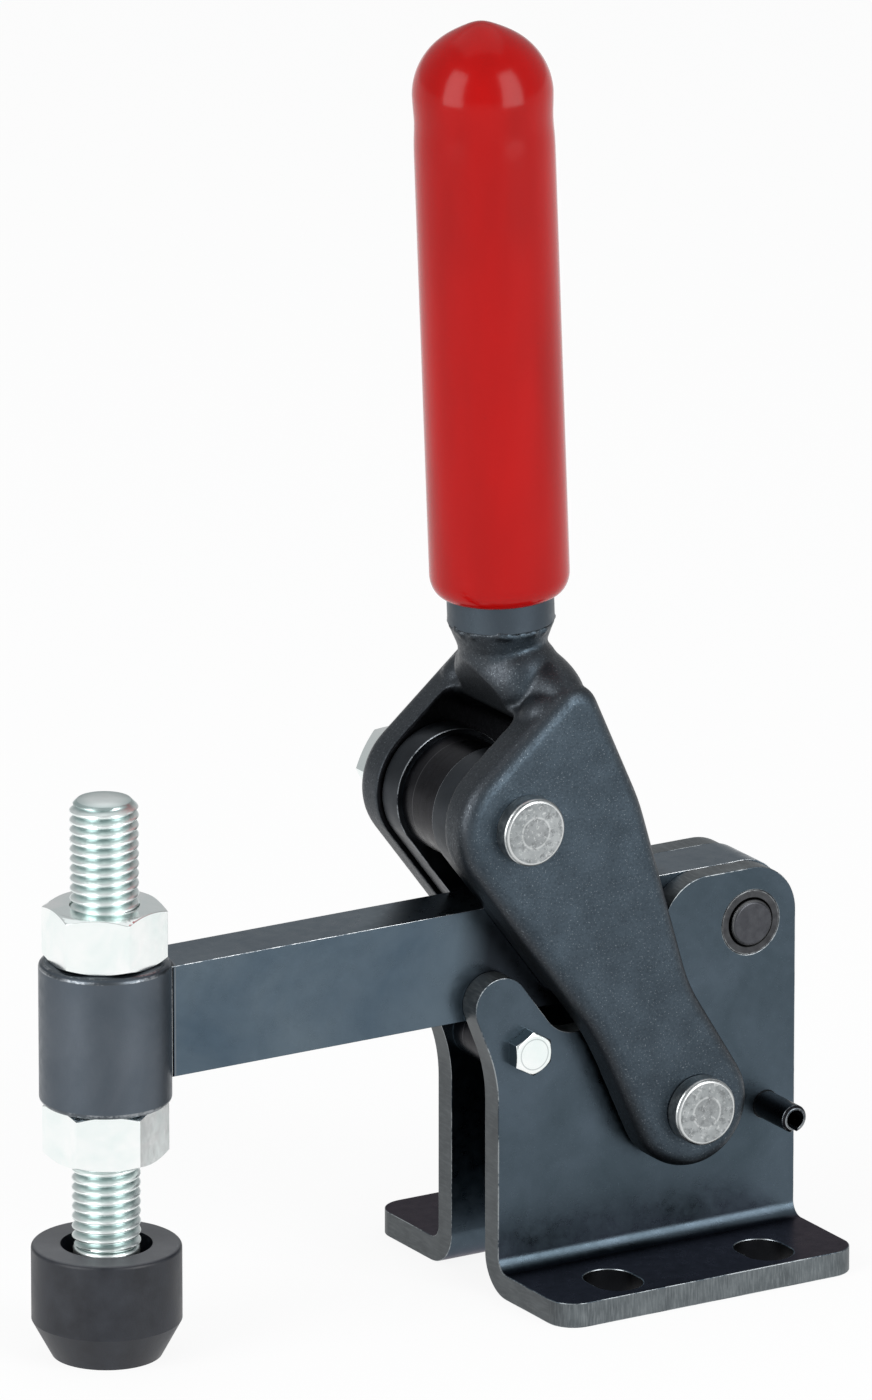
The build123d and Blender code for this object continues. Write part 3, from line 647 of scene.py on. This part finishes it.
def toggle_pins():
    """Plain dark pieces of the toggle pin."""
    for node in ("toggle_pin", "near_toggle_pin_end", "far_toggle_pin_end"):
        finish, _ = turned_steel(
            node + "_steel", centre_of(node), (0.06, 0.065, 0.07), (0.1, 0.105, 0.11))
        paint(softened(node, PIN_ROUNDING), finish.material, finish.material)


def sleeves():
    """Near-black turned sleeves on the link pin and the stop bolt, with a faint tool line."""
    seam_place = 2.4
    for node in ("link_sleeve", "stop_sleeve"):
        finish, _ = turned_steel(
            node + "_steel", centre_of(node), (0.01, 0.01, 0.012), (0.02, 0.02, 0.024), 0.3)
        seam = finish.math("MULTIPLY", finish.band(finish.along("Y"), seam_place, 0.03, 0.08), 0.35)
        steel = marked(finish, (seam, (0.2, 0.2, 0.21)))
        paint(softened(node, TURNED_ROUNDING), steel, PLATE_WORN)


def fasteners():
    """Zinc-plated nuts and stop bolt, and the black spring pin."""
    for node in ("handle_pivot_nut", "link_pin_nut", "stop_nut"):
        paint(softened(node, NUT_ROUNDING), ZINC, ZINC)
    paint(softened("stop_bolt", PIN_ROUNDING), bolt_zinc(), ZINC)
    for node in ("upper_spindle_nut", "lower_spindle_nut"):
        paint(softened(node, PLATE_ROUNDING), ZINC, ZINC)
    paint(softened("spring_pin", BUSH_ROUNDING), SPRING, PLATE_WORN)


def links():
    """Link plates between fork and arm."""
    for node in ("near_link_plate", "far_link_plate"):
        paint(softened(node, PLATE_ROUNDING), LINK, LINK_WORN)


def fork():
    """Forged fork with its crown filled out and an uneven weld bead at the tube's foot."""
    bm = cad_mesh("fork")
    for side in (-1, 1):
        ellipsoid(bm, CROWN_FILL * Vector((1, side, 1)), CROWN_FILL_RADII)
    foot, axis = tube_axis()
    turn = axis.to_track_quat("Z", "Y")
    drops = random.Random(BEAD_SEED)
    for drop in range(BEAD_DROPS):
        angle = 2 * pi * drop / BEAD_DROPS
        out = Vector((cos(angle), sin(angle), drops.uniform(*BEAD_LEAN)))
        size = drops.uniform(*BEAD_SIZES)
        ellipsoid(bm, foot + turn @ (out * BEAD_RADIUS), (size, size, size))
    paint(melted("fork", bm), FORGING)


def grip_profile(radius, bore, start, dome):
    """Half section of the grip, from the end of its bore round the lip and over the dome."""
    profile = [(0, dome), (bore, dome), (bore, start)]
    for step in range(LIP_STEPS + 1):
        angle = pi / 2 * step / LIP_STEPS
        profile.append((
            radius - GRIP_LIP_WIDTH * (1 - sin(angle)),
            start + GRIP_LIP_HEIGHT * (1 - cos(angle)),
        ))
    for step in range(1, SHAFT_STEPS + 1):
        height = start + GRIP_LIP_HEIGHT + (dome - start - GRIP_LIP_HEIGHT) * step / SHAFT_STEPS
        off = (height - dome + GRIP_WAIST_DROP) / GRIP_WAIST_SPREAD
        profile.append((radius - GRIP_WAIST_DEPTH * exp(-off * off), height))
    for step in range(1, DOME_STEPS + 1):
        angle = pi / 2 * step / DOME_STEPS
        r = radius * cos(angle)
        tip = GRIP_TIP_RISE * exp(-((r / GRIP_TIP_SPREAD) ** 2))
        profile.append((r, dome + radius * sin(angle) + tip))
    return profile


def grip():
    """Dipped grip: rounded lip, straight shaft, slight waist under the dome and a soft tip."""
    foot, axis = tube_axis()
    reach = [(v.co - foot).dot(axis) for v in frame["nodes"]["grip"].data.vertices]
    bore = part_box("handle_tube")[1].y + FIT_GAP
    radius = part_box("grip")[1].y
    dome = max(reach) - radius - GRIP_TIP_RISE - FIT_GAP
    bm = bmesh.new()
    lathe(bm, grip_profile(radius, bore, min(reach), dome), foot, axis)
    paint(new_piece("grip", bm, GRIP_SHARP_ANGLE), RED)


def handle():
    """Forged fork, tube and dipped grip."""
    fork()
    paint(softened("handle_tube", PLATE_ROUNDING), TUBE, TUBE)
    grip()


def arm_bar():
    """Bar: dark joint at the boss, painted shade round the toggle pin, and top edges rubbed bright."""
    joint_inner, joint_outer, rub_place = 0.3, 0.45, 0.6
    boss_low, boss_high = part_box("spindle_boss")
    boss_radius = (boss_high.x - boss_low.x) / 2 / MM
    finish = oxide("black_arm", (0.07, 0.102, 0.134), (0.105, 0.14, 0.17), 0.3, grain=1.3, fleck=0.05)
    radius = finish.off_line(centre_of("spindle_boss"), ROUND_Z)
    joint = finish.spread(radius, boss_radius + joint_inner, boss_radius + joint_outer, 1, 0)
    rub = finish.band(radius, boss_radius + rub_place, 0.03, 0.1)
    # painted shade: the arm darkens round the toggle pin, beside the fork
    off_pin = finish.off_line(centre_of("toggle_pin"), ROUND_Y)
    pin_shade_paint = finish.spread(off_pin, PIN_SHADE_CORE, PIN_SHADE_REACH, 0.85, 0)
    steel = marked(
        finish, (rub, (0.17, 0.185, 0.2)), (pin_shade_paint, (0.012, 0.013, 0.017)), (joint, (0.004, 0.004, 0.005)),
    )
    piece = paint(softened("arm_bar", ARM_ROUNDING), steel, ARM_WORN)
    middle = centre_of("arm_bar").z
    for face in piece.data.polygons:
        if face.center.z < middle or abs(face.normal.x) > 0.5:
            face.material_index = 0


def arm():
    """Bar and boss of the arm."""
    arm_bar()
    paint(softened("spindle_boss", PLATE_ROUNDING), BOSS, RIM_DULL)


def neck(bm, centre, foot):
    """Adds the spindle's neck, and the plain ring between it and the thread's foot."""
    ring_low = foot - COLLAR_HEIGHT
    rim, core = COLLAR_RADIUS - COLLAR_ROUNDING, NECK_RADIUS - COLLAR_ROUNDING
    rim_low, rim_high = ring_low + COLLAR_SLOPE_LOW, foot - COLLAR_SLOPE_HIGH
    lathe(bm, [
        (0, HEAD_HIGH - HEAD_OVERLAP), (NECK_RADIUS, HEAD_HIGH - HEAD_OVERLAP), (NECK_RADIUS, ring_low),
        (rim, rim_low), (COLLAR_RADIUS, rim_low + COLLAR_ROUNDING),
        (COLLAR_RADIUS, rim_high - COLLAR_ROUNDING), (rim, rim_high),
        (core, foot), (core, foot + THREAD_OVERLAP), (0, foot + THREAD_OVERLAP),
    ], centre, Vector((0, 0, 1)))


def head(bm, centre):
    """Adds the spindle's hexagon head, which sits inside the cap."""
    place = Matrix.Translation(centre + Vector((0, 0, (HEAD_LOW + HEAD_HIGH) / 2)))
    bmesh.ops.create_cone(
        bm, cap_ends=True, segments=6, radius1=HEAD_CORNER_RADIUS, radius2=HEAD_CORNER_RADIUS,
        depth=HEAD_HIGH - HEAD_LOW, matrix=place @ Matrix.Rotation(HEAD_TURN, 4, "Z"),
    )


def spindle():
    """Spindle with its thread, collar, neck and head, and the rubber cap."""
    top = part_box("spindle")[1].z
    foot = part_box("spindle_cap")[1].z - COLLAR_SINK
    centre = Vector((centre_of("spindle_cap").x, 0, 0))
    bm = bmesh.new()
    thread(bm, centre, foot, top)
    neck(bm, centre, foot)
    head(bm, centre)
    paint(new_piece("spindle", bm, SPINDLE_SHARP_ANGLE), thread_zinc(centre))
    paint(softened("spindle_cap", TURNED_ROUNDING, CAP_SEGMENTS), RUBBER, RUBBER)


base_plates()
headed_pins()
arm_pin()
arm_bushes()
toggle_pins()
sleeves()
fasteners()
links()
handle()
arm()
spindle()


# ---- Stage, light and camera ----------------------------------------------------
FLOOR_SIZE = 30.0
FLOOR_DROP = 0.02 * MM
FLOOR_GREY = 0.9
FLOOR_WHITE_SHARE = 0.9                          # of the floor that shows as plain white
OBJECT_MIDDLE = Vector((-0.03, 0, 0.12))
STRIP_TURN = radians(50)                         # either side of the camera
STRIP_DISTANCE = 1.3
STRIP_WIDTH, STRIP_HEIGHT = 0.8, 1.45
STRIP_POWER = 16
STRIP_LIFT = 0.03                                # of the strips' lower ends, off the floor
TOP_PLACE = Vector((0.3, 0.8, 2.5))
TOP_SIZE, TOP_POWER = 2.4, 8
SKY_COLOUR, SKY_STRENGTH = (0.97, 0.985, 1.0, 1), 0.5


def floor_material():
    """Matt floor, most of which shows as plain white to the camera and to reflections."""
    material = bpy.data.materials.new("pale_floor")
    material.use_nodes = True
    tree = material.node_tree
    tree.nodes.clear()
    matt, glow, ray, seen, share, mix, out = (tree.nodes.new("ShaderNode" + kind) for kind in (
        "BsdfDiffuse", "Emission", "LightPath", "Math", "Math", "MixShader", "OutputMaterial"))
    matt.inputs["Color"].default_value = (FLOOR_GREY, FLOOR_GREY, FLOOR_GREY, 1)
    glow.inputs["Color"].default_value = (1, 1, 1, 1)
    seen.operation, share.operation = "MAXIMUM", "MULTIPLY"
    share.inputs[1].default_value = FLOOR_WHITE_SHARE
    for source, target in (
        (ray.outputs["Is Camera Ray"], seen.inputs[0]), (ray.outputs["Is Glossy Ray"], seen.inputs[1]),
        (seen.outputs[0], share.inputs[0]), (share.outputs[0], mix.inputs[0]),
        (matt.outputs[0], mix.inputs[1]), (glow.outputs[0], mix.inputs[2]),
        (mix.outputs[0], out.inputs["Surface"]),
    ):
        tree.links.new(source, target)
    return material


def floor():
    """Pale floor just under the part, which keeps its shadow."""
    bpy.ops.mesh.primitive_plane_add(size=FLOOR_SIZE, location=(0, 0, -FLOOR_DROP))
    ground = bpy.context.object
    ground.name = "floor"
    ground.data.materials.append(floor_material())


def softbox(name, place, target, width, height, power):
    """Rectangular area light at a place, facing a target."""
    lamp = bpy.data.lights.new(name, "AREA")
    lamp.shape = "RECTANGLE"
    lamp.size, lamp.size_y = width, height
    lamp.energy = power
    holder = bpy.data.objects.new(name, lamp)
    holder.location = place
    holder.rotation_euler = (target - place).to_track_quat("-Z", "Y").to_euler()
    bpy.context.scene.collection.objects.link(holder)


def lamps():
    """Two upright strips, either side of the camera, and a wide soft light above."""
    middle = OBJECT_MIDDLE.xy.to_3d() + Vector((0, 0, STRIP_HEIGHT / 2 + STRIP_LIFT))
    away = (CAMERA_PLACE - OBJECT_MIDDLE).xy.normalized().to_3d()
    for name, turn in (("left_strip", -STRIP_TURN), ("right_strip", STRIP_TURN)):
        place = middle + Matrix.Rotation(turn, 3, "Z") @ away * STRIP_DISTANCE
        softbox(name, place, middle, STRIP_WIDTH, STRIP_HEIGHT, STRIP_POWER)
    softbox("top", TOP_PLACE, OBJECT_MIDDLE, TOP_SIZE, TOP_SIZE, TOP_POWER)


def world():
    """Even pale surroundings."""
    sky = bpy.data.worlds.new("surroundings")
    sky.use_nodes = True
    back = sky.node_tree.nodes["Background"]
    back.inputs["Color"].default_value = SKY_COLOUR
    back.inputs["Strength"].default_value = SKY_STRENGTH
    bpy.context.scene.world = sky


def camera():
    """Camera aimed at the middle of its frame."""
    view = bpy.data.cameras.new("camera")
    view.sensor_fit = "VERTICAL"
    view.sensor_height = SENSOR_HEIGHT
    view.lens = FOCAL_LENGTH_PX / FRAME_HEIGHT_PX * SENSOR_HEIGHT
    view.clip_end = CLIP_END
    holder = bpy.data.objects.new("camera", view)
    holder.location = CAMERA_PLACE
    holder.rotation_euler = (CAMERA_AIM - CAMERA_PLACE).to_track_quat("-Z", "Y").to_euler()
    bpy.context.scene.collection.objects.link(holder)
    bpy.context.scene.camera = holder


floor()
world()
lamps()
camera()
bpy.context.scene.view_settings.view_transform = "Standard"
